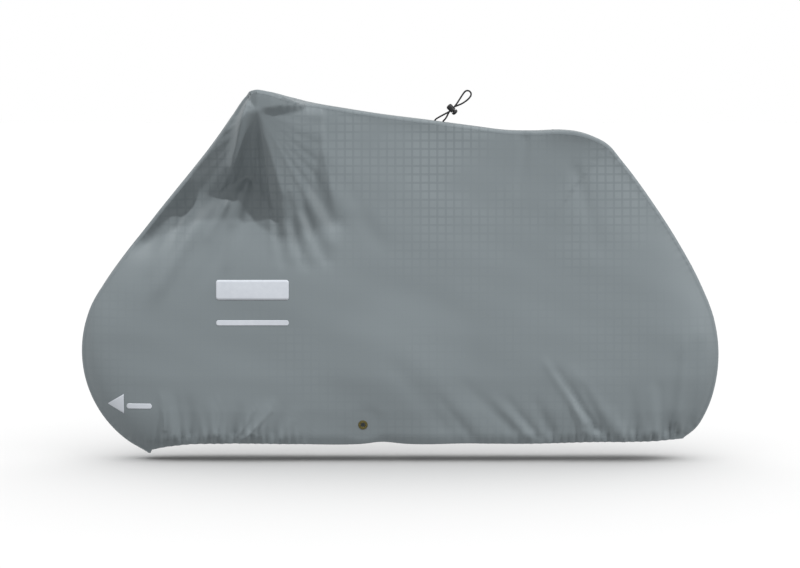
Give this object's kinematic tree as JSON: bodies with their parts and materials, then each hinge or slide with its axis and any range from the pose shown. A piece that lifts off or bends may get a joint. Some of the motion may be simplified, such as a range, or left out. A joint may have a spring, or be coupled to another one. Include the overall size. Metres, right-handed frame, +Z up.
{
  "type": "bicycle cover",
  "caption": "Fitted fabric bicycle cover in its worn shape: side panels joined by a top strip, open below, with brass eyelets at the hem and an elastic cord loop with a lock on top.",
  "frame": {"origin": "in the middle plane, just under the top strip at the front peak, where the cover is held up from inside", "axes": "+Z up, -X to the front and +X to the rear of the covered bicycle, -Y to the near side (the left one when facing the front)"},
  "size_m": [1.9101, 0.526, 1.085],
  "materials": {
    "panel_cloth": "coated ripstop, satin",
    "strip_cloth": "coated ripstop, satin",
    "eyelet_brass": "satin",
    "cord_cover": "braided, matte",
    "lock_plastic": "matte"
  },
  "bodies": {
    "cover": {"side_panel_near": "panel_cloth", "side_panel_far": "panel_cloth", "top_strip": "strip_cloth", "eyelet_near": "eyelet_brass", "eyelet_far": "eyelet_brass", "elastic_cord": "cord_cover", "cord_lock_body": "lock_plastic"},
    "lock_button": {"cord_lock_button": "lock_plastic"}
  },
  "joints": [
    {"name": "lock_button_press", "type": "slide", "parent": "cover", "child": "lock_button", "axis": [-0.6947, 0, 0.7193], "range_m": [0, 0.0014], "stiffness_N_per_m": 800}
  ]
}
